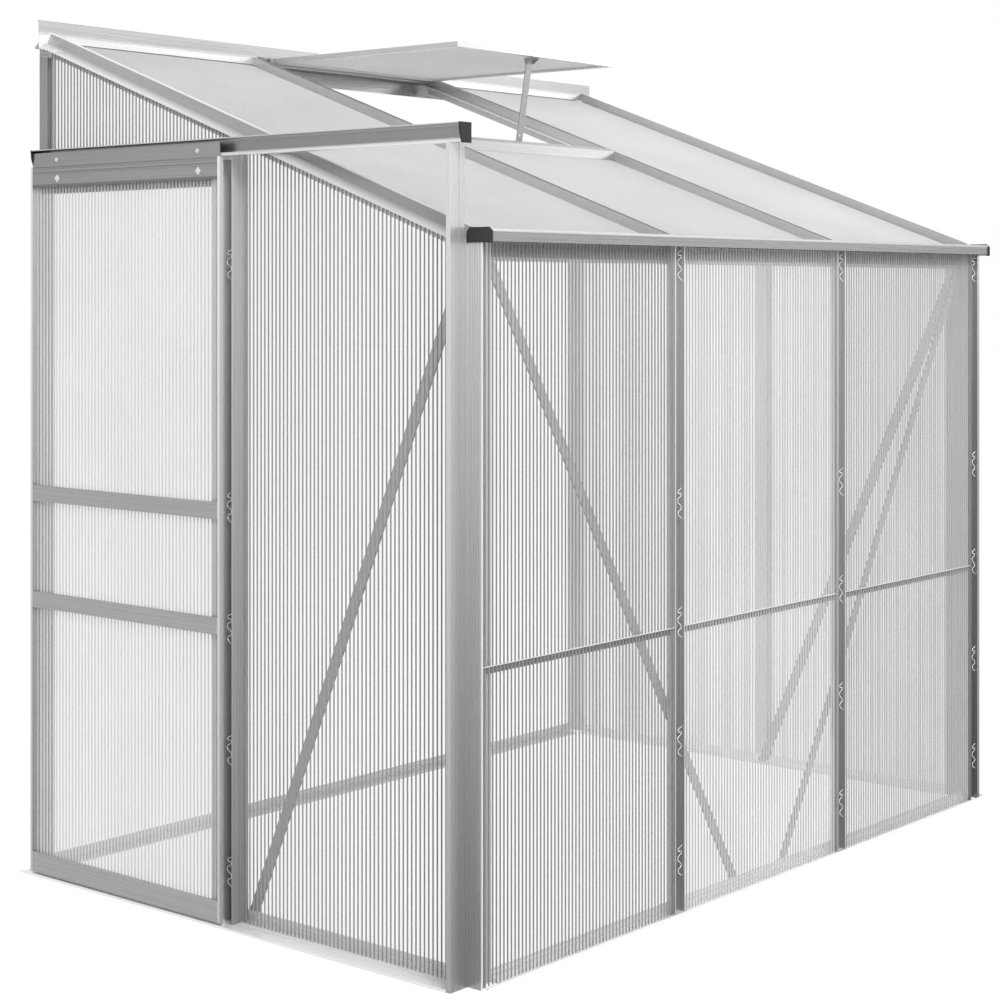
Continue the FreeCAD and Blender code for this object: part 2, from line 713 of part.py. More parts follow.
def make_braces():
    def bar(label, plane, top, foot, corner):
        width = "brace_width"
        if plane == "XZ_Plane":
            points = [(foot, "brace_foot_z"), (f"{foot} + {width}", "brace_foot_z"),
                      (f"{top} + {width}", "eave_web_z"), (top, "eave_web_z")]
        else:
            points = [(foot, "brace_foot_z"), (f"{foot} - {width}", "brace_foot_z"),
                      (top, "brace_top_z"), (f"{top} + {width}", "brace_top_z")]
        extruded(label, plane, points, "brace_thick", corner)

    behind = "bar_depth + wall"
    bar("brace_front_left", "XZ_Plane", "brace_front_left_top", "brace_front_left_foot - brace_width",
        ("0", behind, "0"))
    bar("brace_front_right", "XZ_Plane", "-brace_front_right_top", "-brace_front_right_foot",
        ("length", behind, "0"))
    bar("brace_gable_left", "YZ_Plane", "brace_gable_top - brace_width", "brace_gable_foot",
        (behind, "0", "0"))
    bar("brace_gable_right", "YZ_Plane", "brace_gable_top - brace_width", "brace_gable_foot",
        (f"length - ({behind}) - brace_thick", "0", "0"))


def make_strips():
    flanges = []
    for low, high in FRONT_BAYS.values():
        body = loose_body("strip", low, "0", "strip_low")
        web = rectangle("gap", "seat", "strip_height - strip_thick", "strip_height")
        add_pad(body, "YZ_Plane", web, f"{high} - ({low}) - 2 * gap", "gap")
        rear = rectangle("seat", "seat + strip_thick", "0", "strip_height")
        seat_start = "nose_width" if low == "front_edge" else low
        add_pad(body, "YZ_Plane", rear, f"{high} - ({seat_start}) - 2 * seat_width",
                f"{seat_start} + seat_width - ({low})")
        flanges.append(body)
    keep_together("front_joint_strips", flanges)


def make_front_panes():
    for side, (low, high) in FRONT_BAYS.items():
        width = f"{high} - ({low}) - 2 * gap"
        x = f"{low} + gap"
        foot = "wall + gap"
        box(f"front_pane_lower_{side}", (x, "pane_inset", foot), (width, "pane", f"web_low - ({foot})"))
        box(f"front_pane_upper_{side}", (x, "pane_inset", "web_high"),
            (width, "pane", "pane_top_z - web_high"))


def make_gable_panes():
    def sheet_between(label, x, low, high, foot):
        points = [(low, foot), (high, foot)]
        for y in (high, low):
            points.append((y, roof(y) + " - rafter_depth - gap"))
        extruded(label, "YZ_Plane", points, "pane", (x, "0", "0"))

    near = "cheek_width + wall + gap"
    far = "depth - rear_cheek - gap"
    edge = "half_bar - gap"
    left_x = "pane_inset"
    right_x = "length - seat"
    sheet_between("gable_pane_left_front", left_x, near, f"jamb_y - {edge}", "wall + gap")
    sheet_between("gable_pane_left_door_head", left_x, "jamb_y + half_bar + gap", far, "track_z + 2 * wall")
    sheet_between("gable_pane_right_front", right_x, near, f"gable_post_y - {edge}", "wall + gap")
    sheet_between("gable_pane_right_rear", right_x, "gable_post_y + half_bar + gap", far, "wall + gap")


def make_roof_panes():
    bays = {
        "left": ("rafter_top", "post_left_x - mid_rafter_half", "ridge_face_y + wall"),
        "middle": ("post_left_x + mid_rafter_half", "post_right_x - mid_rafter_half",
                   "vent_sill_y + vent_sill_width - wall - gap"),
        "right": ("post_right_x + mid_rafter_half", "length - rafter_top", "ridge_face_y + wall"),
    }
    for side, (low, high, back) in bays.items():
        section = rectangle("0", f"{high} - ({low}) - 2 * gap", "-roof_seat", "pane - roof_seat")
        extruded(f"roof_pane_{side}", "XZ_Plane", section, f"{back} - rafter_start_y",
                 (f"{low} + gap", "rafter_start_y", roof("rafter_start_y")), rise="slope")


def make_track():
    back = "-track_back_x"
    points = [
        ("-track_reach", "track_height"), ("-track_reach", "track_height - wall"),
        (f"{back} - wall", "track_height - wall"), (f"{back} - wall", "wall"),
        ("track_lip_thick - track_lip_x", "wall"), ("track_lip_thick - track_lip_x", "track_lip_height"),
        ("-track_lip_x", "track_lip_height"), ("-track_lip_x", "0"), (back, "0"), (back, "track_height"),
    ]
    run = "track_rear_y - track_front_y"
    track = extruded("door_track", "XZ_Plane", points, run, ("0", "track_front_y", "track_z"))
    low = "(track_height - bracket_height) / 2"
    bracket = f"{low} + bracket_height"
    add_pad(track, "XZ_Plane", rectangle(back, "0", low, bracket), "bar_width",
            "jamb_y - half_bar - track_front_y")
    add_pad(track, "XZ_Plane", rectangle(back, "0", low, bracket), "2 * bracket_width",
            f"{run} - bracket_width")
    add_pad(track, "XZ_Plane", rectangle("-jamb_proud - wall", "-jamb_proud", "-jamb_tab", "wall"),
            "bar_width - seat_width", "jamb_y - half_bar - track_front_y")
    ends = []
    for y, over in (("track_front_y - track_cap", "wall"), ("track_rear_y", "0")):
        cap = [
            ("-track_reach", "track_height"), ("-track_reach + track_cap / 2", "track_height / 2 - wall"),
            ("-track_lip_x", f"-{over}"), (f"{back} + {over}", f"-{over}"),
            (f"{back} + {over}", "track_height"),
        ]
        body = loose_body("track_cap", "0", y, "track_z")
        add_pad(body, "XZ_Plane", cap, "track_cap")
        ends.append(body)
    keep_together("door_track_caps", ends)


def make_door():
    face = "-door_face_x"
    flange_low = "stile_face + stile_flange"
    stile = [
        (face, "0"), ("-door_pane_x + wall", "0"), ("-door_pane_x + wall", flange_low),
        ("-door_pane_x", flange_low), ("-door_pane_x", "stile_face"), (face, "stile_face"),
    ]
    height = "door_top_z - door_bottom_z"
    extruded("door_stile_front", "XY_Plane", stile, height, ("0", "door_start_y", "door_bottom_z"))
    extruded("door_stile_rear", "XY_Plane", rewritten(stile, "{a}", "-({b})"), height,
             ("0", "door_end_y", "door_bottom_z"))
    inner_y = "door_start_y + stile_face"
    inner_width = "door_width - 2 * stile_face"
    rails = {"upper": ("upper_rail_z", "rail_height"), "lower": ("lower_rail_z", "rail_height")}
    for name, (z, rise) in rails.items():
        box(f"door_cross_rail_{name}", (face, inner_y, z), ("rail_thick", inner_width, rise))
    foot = [
        ("-door_face_x", "0"), ("-door_pane_x", "0"), ("-door_pane_x", "wall"), ("-rail_back_x", "wall"),
        ("-rail_back_x", "bottom_rail_height"), ("-door_face_x", "bottom_rail_height"),
    ]
    extruded("door_bottom_rail", "XZ_Plane", foot, inner_width, ("0", inner_y, "door_bottom_z"))
    box("door_pane", ("-rail_back_x", f"{inner_y} + gap", "door_bottom_z + 2 * wall"),
        ("pane", f"{inner_width} - 2 * gap", "door_top_z - top_rail_grip - gap - door_bottom_z - 2 * wall"))

    top = new_body("door_top_rail", "0", "door_start_y", "door_top_z")
    grip = "-top_rail_grip"
    main = [
        (face, "-top_rail_height"), ("-rail_back_x", "-top_rail_height"), ("-rail_back_x", grip),
        ("-door_pane_x", grip), ("-door_pane_x", "0"), (face, "0"),
    ]
    recess = f"{face} + groove_depth"
    for start in ("groove_first", "groove_first + groove_pitch"):
        main += [
            (face, f"-({start})"), (recess, f"-({start}) - wall / 2"),
            (recess, f"-({start}) - groove_height + wall / 2"), (face, f"-({start}) - groove_height"),
        ]
    add_pad(top, "XZ_Plane", main, inner_width, "stile_face")
    add_pad(top, "XZ_Plane", rectangle(face, f"{face} + wall", "0", "hanger_height"),
            "track_rear_y - gap - door_start_y")
    bead_z = f"{grip} - bead_drop"
    flange = [
        ("-door_pane_x", "-top_rail_height - top_rail_flange"),
        ("-door_pane_x + wall", "-top_rail_height - top_rail_flange"),
        ("-door_pane_x + wall", f"{bead_z} - bead_height"),
        ("-door_pane_x + 2 * wall", f"{bead_z} - bead_height"), ("-door_pane_x + 2 * wall", bead_z),
        ("-door_pane_x + wall", bead_z), ("-door_pane_x + wall", "0"), ("-door_pane_x", "0"),
    ]
    add_pad(top, "XZ_Plane", flange, f"door_width - 2 * ({flange_low})", flange_low)
    holes = [(f"{y} - door_start_y", "roller_z - door_top_z") for y in ROLLER_PLACES.values()]
    add_bore(top, "YZ_Plane", holes, "axle_radius", "wall", f"{face} + wall / 2")


def make_rollers():
    shanks = []
    nuts = []
    for name, y in ROLLER_PLACES.items():
        roller = new_body(f"door_roller_{name}", "-roller_out_x", y, "roller_z")
        add_pin(roller, "YZ_Plane", "0", "0", "roller_radius", "roller_width")
        add_bore(roller, "YZ_Plane", [("0", "0")], "axle_radius + running_gap", "4 * roller_width")

        axle = loose_body("axle", "-door_face_x", y, "roller_z")
        add_pin(axle, "YZ_Plane", "0", "0", "axle_head_radius", "axle_head", "-axle_head")
        shank = "door_face_x - roller_in_x + side_play"
        add_pin(axle, "YZ_Plane", "0", "0", "axle_radius", shank)
        add_pin(axle, "YZ_Plane", "0", "0", "axle_head_radius", "axle_head", shank)
        shanks.append(axle)

        nut = doc.addObject("Part::Wedge", "cap_nut")
        half = "nut_side / 2"
        for prop, text in (
            ("Xmin", f"-{half}"), ("Xmax", half), ("Zmin", f"-{half}"), ("Zmax", half), ("Ymin", "0"),
            ("Ymax", "nut_height"), ("X2min", "-nut_tip"), ("X2max", "nut_tip"), ("Z2min", "-nut_tip"),
            ("Z2max", "nut_tip"),
        ):
            bind(nut, prop, text)
        nut.Placement.Rotation = FreeCAD.Rotation(V(1, 0, 0), 45) * FreeCAD.Rotation(V(0, 0, 1), 90)
        place(nut, "-door_face_x", y, "door_top_z - nut_drop")
        nuts.append(nut)
    keep_together("door_axles", shanks)
    keep_together("door_cap_nuts", nuts)


def make_vent():
    width = "vent_right_x - vent_left_x"

    def ring(inset):
        outer = rectangle("0", width, "-vent_length", "vent_rear")
        inner = rectangle(inset, f"{width} - ({inset})", f"{inset} - vent_length", f"vent_rear - ({inset})")
        return outer, inner

    frame = new_body("vent_frame", "vent_left_x", "vent_hinge_y", "vent_hinge_z")
    lip = "(vent_thick - pane) / 2"
    layers = (("-vent_thick / 2", lip, "vent_bar"), ("-pane / 2", "pane", "vent_bar - vent_lap"),
              ("pane / 2", lip, "vent_bar"))
    for start, rise, inset in layers:
        outer, inner = ring(inset)
        add_pad(frame, "XY_Plane", outer, rise, start, hole=inner)
    pin = "vent_gap - gap"
    add_pin(frame, "YZ_Plane", "0", "0", "hinge_pin", pin, f"-({pin})")
    add_pin(frame, "YZ_Plane", "0", "0", "hinge_pin", pin, width)
    tilt(frame, "vent_tilt")

    pane = new_body("vent_pane", "vent_left_x", "vent_hinge_y", "vent_hinge_z")
    edge = "vent_bar - vent_lap + gap"
    sheet_outline = rectangle(edge, f"{width} - ({edge})", f"{edge} - vent_length", f"vent_rear - ({edge})")
    add_pad(pane, "XY_Plane", sheet_outline, "pane", "-pane / 2")
    tilt(pane, "vent_tilt")


def make_stay():
    bracket = new_body("vent_stay_bracket", "vent_middle_x", "vent_hinge_y", "vent_hinge_z")
    under = "-vent_thick / 2"
    reach = "-stay_reach"
    half = "stay_width / 2 + side_play"
    front = "vent_sill_step - vent_length"
    cheek = [
        (front, under), (front, f"{under} - wall"),
        (f"{reach} - ear_radius", "-stay_drop_z - ear_radius"),
        (f"{reach} + ear_radius / 2", "-stay_drop_z - ear_radius"),
        (f"{reach} + ear_radius", "-stay_drop_z"), (f"{reach} + ear_radius", under),
    ]
    for start in (f"-({half}) - stay_cheek", half):
        add_pad(bracket, "YZ_Plane", cheek, "stay_cheek", start)
    plate = rectangle(front, "vent_bar - vent_length", f"{under} - wall", under)
    add_pad(bracket, "YZ_Plane", plate, f"2 * ({half})", f"-({half})")
    add_pin(bracket, "YZ_Plane", reach, "-stay_drop_z", "stay_pin", f"2 * ({half})", f"-({half})")
    tilt(bracket, "vent_tilt")

    stay = new_body("vent_stay", "vent_middle_x", "stay_pivot_y", "stay_pivot_z")
    across = "-stay_width / 2"
    strip = rectangle("-stay_thick / 2", "stay_thick / 2", "-stay_length", "-stay_pin - wall / 2")
    add_pad(stay, "YZ_Plane", strip, "stay_width", across)
    add_pin(stay, "YZ_Plane", "0", "0", "stay_pin + wall", "stay_width", across)
    add_bore(stay, "YZ_Plane", [("0", "0")], "stay_pin + running_gap", "4 * stay_width")
    peg_hole = "(stay_pivot_z - peg_z) / cos(stay_lean * 1 deg)"
    holes = [("0", f"{count} * stay_hole_pitch - {peg_hole}") for count in range(4)]
    add_bore(stay, "XZ_Plane", holes, "peg_radius + gap", "4 * stay_thick")
    tilt(stay, "stay_lean * 1 deg")


def make_clips():
    """Zigzag wires that spring against one side of a channel."""
    def zigzag(middle, z, swing):
        bends = [("1", "0"), ("0.1", "0.2"), ("0.85", "0.35"), ("0", "0.6"), ("0.85", "0.8"), ("0.1", "0.85"),
                 ("1", "1")]
        rim = [(f"{middle} + {across} * ({swing})", f"{z} + {up} * clip_stroke") for across, up in bends]
        return rim + [(f"{a} - ({swing}) / 3", b) for a, b in reversed(rim)]

    in_bar = "half_bar - wall"
    in_corner = "(right_channel - wall) / 2"
    columns = [
        ("XZ_Plane", "post_left_x", in_bar, ("0", "clip_inset", "0")),
        ("XZ_Plane", "post_right_x", in_bar, ("0", "clip_inset", "0")),
        ("XZ_Plane", f"length - nose_width - wall - {in_corner}", in_corner, ("0", "clip_inset", "0")),
        ("YZ_Plane", "jamb_y", f"-({in_bar})", ("clip_inset - jamb_proud", "0", "0")),
        ("YZ_Plane", "gable_post_y", in_bar, ("length - clip_inset - clip_wire", "0", "0")),
    ]
    wires = []
    for plane, middle, swing, corner in columns:
        for step in CLIP_STEPS:
            body = loose_body("clip", *corner)
            add_pad(body, plane, zigzag(middle, f"clip_first_z + {step} * clip_pitch", swing), "clip_wire")
            wires.append(body)
    keep_together("glazing_clips", wires)


def make_bolts():
    """Flat round heads on the braces' ends."""
    heads = []
    inner = "bar_depth + wall + brace_thick"
    low = "bar_depth - wall"
    half = "brace_width / 2"

    def head(x, y, z, along_x):
        bolt = doc.addObject("Part::Cylinder", "bolt")
        bind(bolt, "Radius", "bolt_radius")
        bind(bolt, "Height", "bolt_height")
        turn = (V(0, 1, 0), 90) if along_x else (V(1, 0, 0), -90)
        bolt.Placement.Rotation = FreeCAD.Rotation(*turn)
        place(bolt, x, y, z)
        heads.append(bolt)

    for x in (f"brace_front_left_foot - {half}", f"length - brace_front_right_foot + {half}"):
        head(x, inner, low, False)
    for x in (f"brace_front_left_top + {half}", f"length - brace_front_right_top + {half}"):
        head(x, inner, f"eave_web_z - ({low})", False)
    for x in (inner, f"length - ({inner}) - bolt_height"):
        head(x, f"brace_gable_foot - {half}", low, True)
        head(x, "brace_gable_top", f"brace_top_z - ({low})", True)
    keep_together("frame_bolts", heads)


make_base_rails()
make_corner_posts()
make_posts()
make_eave()
make_ridge()
make_rafters()
make_vent_cross_bars()
make_braces()
make_strips()
make_front_panes()
make_gable_panes()
make_roof_panes()
make_track()
make_door()
make_rollers()
make_vent()
make_stay()
make_clips()
make_bolts()
doc.recompute()

for obj in doc.Objects:
    faults = {"Invalid", "Error"} & set(obj.State)
    if faults:
        raise ValueError(f"{obj.Label}: {sorted(faults)}")
for piece in PIECES:
    if piece.Shape.isNull() or not piece.Shape.isValid():
        raise ValueError(f"{piece.Label}: its shape is not valid")

os.makedirs("parts", exist_ok=True)
for piece in PIECES:
    piece.Shape.exportStep(f"parts/{piece.Label}.step")
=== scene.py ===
import math

import bmesh
import bpy
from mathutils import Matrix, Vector


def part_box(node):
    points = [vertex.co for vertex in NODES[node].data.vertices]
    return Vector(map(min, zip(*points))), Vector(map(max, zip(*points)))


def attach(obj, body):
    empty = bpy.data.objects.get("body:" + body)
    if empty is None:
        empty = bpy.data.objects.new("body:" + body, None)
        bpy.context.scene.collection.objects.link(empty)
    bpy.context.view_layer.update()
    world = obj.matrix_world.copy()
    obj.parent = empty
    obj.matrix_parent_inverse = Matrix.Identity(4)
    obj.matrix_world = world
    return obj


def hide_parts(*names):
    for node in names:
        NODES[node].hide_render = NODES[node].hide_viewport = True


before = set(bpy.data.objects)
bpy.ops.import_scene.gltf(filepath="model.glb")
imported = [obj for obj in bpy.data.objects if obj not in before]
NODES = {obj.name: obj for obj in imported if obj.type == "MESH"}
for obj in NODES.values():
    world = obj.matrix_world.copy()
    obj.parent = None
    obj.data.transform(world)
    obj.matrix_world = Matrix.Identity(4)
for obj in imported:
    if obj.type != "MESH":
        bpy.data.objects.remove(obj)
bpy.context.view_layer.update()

# Frame position of the greenhouse's front left corner on the ground, which the sizes below count from
CORNER = Vector((-0.937, -0.6215, 0))
LENGTH = 1.9
POST_LEFT, POST_RIGHT = 0.616, 1.243
CORNER_CHANNEL = 1.873
JAMB, GABLE_POST = 0.647, 0.628
JAMB_PROUD = 0.0235
AXES = {"x": Vector((1, 0, 0)), "y": Vector((0, 1, 0))}

# Camera, in metres in the frame of the model
CAMERA_PLACE = (-3.8297, -3.0966, 1.2596)
CAMERA_TURN = -49.94
PICTURE_SIZE = 1000
FOCAL_PIXELS = 2119.3
HORIZON_ROW = 290.0
SENSOR = 36.0

# Floor: its grey, and the white that lies over it for the camera, in metal and through clear sheet
FLOOR_GREY = 0.86
FLOOR_GLOW = 1.06
FLOOR_SHARE = 0.9

# Daylight on the surfaces, against 1 for the background itself
DAYLIGHT = 0.55

# Surfaces: noise scales along and across a bar's streaks, and the noise values that the ramps run over
STREAK_ALONG, STREAK_ACROSS = 3, 260
NOISE_LOW, NOISE_HIGH = 0.3, 0.7
BUMP_DEPTH = 0.0002
SOFT_EDGE = 0.0003

# Sockets of a colour Mix node
MIX_FACTOR, MIX_FIRST, MIX_SECOND, MIX_RESULT = 0, 6, 7, 2

# Twin-wall sheet
RIB_PITCH = 0.0105
RIB_CLEAR = 0.0003
WALL_WEB, ROOF_WEB = 0.0011, 0.0008
SHEET_IOR = 1.58

# Wire clips, with their bends as shares of the swing and of the height
WIRE_RADIUS = 0.0009
CLIP_DEPTH = 0.0048
CLIP_PITCH = 0.241
CLIP_FIRST = 0.074
CLIP_HEIGHT = 0.062
CLIP_SWING, CORNER_SWING = 0.015, 0.016
CLIP_OFFSET = 1 / 6
CLIP_STEPS = (0, 1, 2, 3, 5)
CLIP_BENDS = ((1, 0), (0.1, 0.2), (0.85, 0.35), (0, 0.6), (0.85, 0.8), (0.1, 0.85), (1, 1))

# Greys of the bars, from lit edges to recesses, and how wide an edge is; where a bar's greys run in bands,
# the lighter ones are painted highlights and the darker ones painted shade
BRIGHT, PALE, PLAIN, SHADE, DIM, DARK = 250, 225, 200, 170, 130, 75
WALL = 0.002


def tone(level):
    """Linear grey for a grey of 0 to 255."""
    share = level / 255
    return share / 12.92 if share < 0.04045 else ((share + 0.055) / 1.055) ** 2.4


class Graph:
    """A material's node tree, with short calls for the nodes that the surfaces share."""

    def __init__(self, name):
        self.material = bpy.data.materials.new(name)
        self.material.use_nodes = True
        self.tree = self.material.node_tree
        self.shader = self.tree.nodes["Principled BSDF"]
        self.coordinates = self.tree.nodes.new("ShaderNodeTexCoord").outputs["Object"]

    def node(self, kind, **settings):
        made = self.tree.nodes.new(kind)
        for key, value in settings.items():
            setattr(made, key, value)
        return made

    def link(self, source, target):
        self.tree.links.new(source, target)

    def noise(self, scale, stretch=(1, 1, 1), detail=3.0):
        """Noise over the surface, stretched by unequal scales along x, y and z."""
        mapping = self.node("ShaderNodeMapping")
        mapping.inputs["Scale"].default_value = stretch
        self.link(self.coordinates, mapping.inputs["Vector"])
        noise = self.node("ShaderNodeTexNoise")
        noise.inputs["Scale"].default_value = scale
        noise.inputs["Detail"].default_value = detail
        self.link(mapping.outputs["Vector"], noise.inputs["Vector"])
        return noise.outputs["Fac"]

    def ramp(self, factor, stops):
        """Greys over a factor, as (place, grey) stops."""
        ramp = self.node("ShaderNodeValToRGB")
        elements = ramp.color_ramp.elements
        while len(elements) < len(stops):
            elements.new(0.5)
        for element, (place, grey) in zip(elements, stops):
            element.position = place
            element.color = (grey, grey, grey, 1)
        self.link(factor, ramp.inputs["Fac"])
        return ramp.outputs["Color"]

    def along(self, direction, start, end):
        """A factor that grows from 0 to 1 between two distances along a direction."""
        dot = self.node("ShaderNodeVectorMath", operation="DOT_PRODUCT")
        dot.inputs[1].default_value = direction
        self.link(self.coordinates, dot.inputs[0])
        span = self.node("ShaderNodeMapRange")
        span.inputs["From Min"].default_value = start
        span.inputs["From Max"].default_value = end
        self.link(dot.outputs["Value"], span.inputs["Value"])
        return span.outputs["Result"]

    def bands(self, direction, stops):
        """Greys over distances along a direction, as (metres, level of 0 to 255) stops."""
        start = stops[0][0]
        reach = stops[-1][0] - start
        factor = self.along(direction, start, start + reach)
        return self.ramp(factor, [((place - start) / reach, tone(level)) for place, level in stops])

    def mix(self, first, second, factor):
        mix = self.node("ShaderNodeMix", data_type="RGBA")
        self.link(factor, mix.inputs[MIX_FACTOR])
        self.link(first, mix.inputs[MIX_FIRST])
        self.link(second, mix.inputs[MIX_SECOND])
        return mix.outputs[MIX_RESULT]

    def multiply(self, first, second):
        mix = self.node("ShaderNodeMix", data_type="RGBA", blend_type="MULTIPLY")
        mix.inputs[MIX_FACTOR].default_value = 1
        self.link(first, mix.inputs[MIX_FIRST])
        self.link(second, mix.inputs[MIX_SECOND])
        return mix.outputs[MIX_RESULT]

    def bump(self, height, strength):
        bump = self.node("ShaderNodeBump")
        bump.inputs["Strength"].default_value = strength
        bump.inputs["Distance"].default_value = BUMP_DEPTH
        self.link(height, bump.inputs["Height"])
        self.link(bump.outputs["Normal"], self.shader.inputs["Normal"])

    def set(self, **values):
        for name, value in values.items():
            self.shader.inputs[name.replace("_", " ")].default_value = value


def aluminium(name, run, section, lengthways=None, beyond=None, grain=0.05, gloss=(0.22, 0.34), metal=0.5):
    """Mill-finish bar: painted highlights and painted shade across its section and along it, and fine streaks
    along its run.

    With beyond as (direction, start, end, tones), other painted light and shade along it take over from start
    to end.
    """
    graph = Graph(name)
    stretch = [STREAK_ALONG if axis in run else STREAK_ACROSS for axis in "xyz"]
    streaks = graph.noise(1.0, stretch)
    colour = graph.ramp(streaks, [(NOISE_LOW, 1 - grain), (NOISE_HIGH, 1.0)])
    # Painted highlights and painted shade across the section, then along the bar; the streaks above are the
    # real finish
    colour = graph.multiply(colour, graph.bands(*section))
    if lengthways:
        tones = graph.bands(*lengthways)
        if beyond:
            direction, start, end, other = beyond
            tones = graph.mix(tones, graph.bands(*other), graph.along(direction, start, end))
        colour = graph.multiply(colour, tones)
    graph.link(colour, graph.shader.inputs["Base Color"])
    smooth, rough = gloss
    roughness = graph.ramp(streaks, [(NOISE_LOW, smooth), (NOISE_HIGH, rough)])
    graph.link(roughness, graph.shader.inputs["Roughness"])
    graph.bump(streaks, strength=0.06)
    graph.set(Metallic=metal)
    return graph.material


def mottled(name, dark, light, noise_scale):
    """A material whose grey wanders between dark and light, and its noise."""
    graph = Graph(name)
    noise = graph.noise(noise_scale, detail=2.0)
    colour = graph.ramp(noise, [(NOISE_LOW, dark), (NOISE_HIGH, light)])
    graph.link(colour, graph.shader.inputs["Base Color"])
    return graph, noise


def plastic(name, dark, light, roughness):
    graph, speckle = mottled(name, dark, light, noise_scale=900)
    graph.bump(speckle, strength=0.3)
    graph.set(Roughness=roughness)
    return graph.material


def sheet_skin(name, grey, alpha):
    """The two clear faces of a twin-wall sheet."""
    graph, _ = mottled(name, grey - 0.02, grey, noise_scale=6)
    graph.set(Roughness=0.14, Alpha=alpha, IOR=SHEET_IOR)
    return graph.material


def sheet_rib(name, low, high):
    """The webs inside a twin-wall sheet, between two levels of 0 to 255; the panes get darker and lighter
    copies of them as painted shade and painted light.
    """
    graph, _ = mottled(name, tone(low), tone(high), noise_scale=3)
    graph.set(Roughness=0.3, IOR=SHEET_IOR)
    return graph.material


def dress(material, *nodes):
    for node in nodes:
        NODES[node].data.materials.clear()
        NODES[node].data.materials.append(material)


def soften(nodes):
    """Small rounded edges, which catch the light as extruded bars do."""
    for node in nodes:
        bevel = NODES[node].modifiers.new("soft_edges", "BEVEL")
        bevel.width = SOFT_EDGE
        bevel.segments = 2
        bevel.limit_method = "ANGLE"
        bevel.angle_limit = math.radians(40)


def add_piece(name, mesh_or_curve, body):
    piece = bpy.data.objects.new(name, mesh_or_curve)
    bpy.context.scene.collection.objects.link(piece)
    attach(piece, body)
    return piece


def sheet_corners(node, across, run, thin):
    """Corners of a sheet's two faces: outer and inner, each as low left, low right, high right, high left."""
    points = [vertex.co.copy() for vertex in NODES[node].data.vertices]
    tolerance = 0.0002

    def nearest(pool, axis, pick):
        edge = pick(point[axis] for point in pool)
        return [point for point in pool if abs(point[axis] - edge) < tolerance]

    faces = []
    for pick_thin in (min, max):
        corners = []
        for pick_across, pick_run in ((min, min), (max, min), (max, max), (min, max)):
            pool = nearest(nearest(points, across, pick_across), run, pick_run)
            corners.append(nearest(pool, thin, pick_thin)[0])
        faces.append(corners)
    return faces


def add_block(mesh, low_face, high_face, material_index):
    """A six-sided block between two four-cornered faces."""
    low = [mesh.verts.new(corner) for corner in low_face]
    high = [mesh.verts.new(corner) for corner in high_face]
    faces = [low[::-1], high]
    for k in range(4):
        following = (k + 1) % 4
        faces.append([low[k], low[following], high[following], high[k]])
    for corners in faces:
        mesh.faces.new(corners).material_index = material_index


def twin_wall(node, plane, body, skin, rib, web):
    """A clear sheet with webs between its two faces, in the place of its plain solid."""
    outer, inner = sheet_corners(node, *plane)
    mesh = bmesh.new()
    add_block(mesh, outer, inner, 0)
    depth = (inner[0] - outer[0]).normalized() * RIB_CLEAR
    width = (outer[1] - outer[0]).length
    count = int(width / RIB_PITCH)
    side = (outer[1] - outer[0]).normalized() * (web / 2)
    for k in range(1, count):
        share = k / count
        feet = [outer[0].lerp(outer[1], share), inner[0].lerp(inner[1], share)]
        heads = [outer[3].lerp(outer[2], share), inner[3].lerp(inner[2], share)]
        low_face = [feet[0] + depth - side, feet[0] + depth + side,
                    heads[0] + depth + side, heads[0] + depth - side]
        high_face = [feet[1] - depth - side, feet[1] - depth + side,
                     heads[1] - depth + side, heads[1] - depth - side]
        add_block(mesh, low_face, high_face, 1)
    bmesh.ops.recalc_face_normals(mesh, faces=mesh.faces)
    data = bpy.data.meshes.new(node + "_sheet")
    mesh.to_mesh(data)
    mesh.free()
    data.materials.append(skin)
    data.materials.append(rib)
    piece = add_piece(node + "_sheet", data, body)
    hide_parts(node)


def make_sheets():
    wall_skin = sheet_skin("clear_sheet", 0.98, 0.1)
    roof_skin = sheet_skin("clear_roof_sheet", 0.98, 0.08)
    door_skin = sheet_skin("clear_door_sheet", 0.86, 0.22)
    # Darker and lighter copies of the same webs, one per group of panes, as painted shade and painted light
    dark = sheet_rib("sheet_webs_dark", 138, 148)
    medium = sheet_rib("sheet_webs_medium", 172, 184)
    soft = sheet_rib("sheet_webs_soft", 198, 208)
    faint = sheet_rib("sheet_webs_faint", 222, 232)
    bright = sheet_rib("sheet_webs_bright", 229, 238)
    vent_rib = sheet_rib("vent_webs", 198, 214)
    x, y, z = range(3)
    for side, rib in (("left", dark), ("middle", soft), ("right", medium)):
        for level in ("lower", "upper"):
            twin_wall(f"front_pane_{level}_{side}", (x, z, y), "frame", wall_skin, rib, WALL_WEB)
        twin_wall(f"roof_pane_{side}", (x, y, z), "frame", roof_skin, bright, ROOF_WEB)
    for node in ("left_front", "left_door_head", "right_front", "right_rear"):
        rib = dark if "left" in node else bright
        twin_wall(f"gable_pane_{node}", (y, z, x), "frame", wall_skin, rib, WALL_WEB)
    twin_wall("door_pane", (y, z, x), "door", door_skin, faint, ROOF_WEB)
    twin_wall("vent_pane", (x, y, z), "vent", roof_skin, vent_rib, ROOF_WEB)


def upright(stops):
    """Tones over the height above the ground, which the bars use for painted light and shade."""
    return (0, 0, 1), stops


def across(axis, stops):
    """Tones over the distance from the front left corner along x or y."""
    offset = CORNER.dot(AXES[axis])
    return tuple(AXES[axis]), [(place + offset, level) for place, level in stops]


def past(axis, start, end, tones):
    """Other tones along a bar that take over from one place to another along x or y."""
    offset = CORNER.dot(AXES[axis])
    sign = 1 if end > start else -1
    return tuple(sign * AXES[axis]), sign * (offset + start), sign * (offset + end), tones


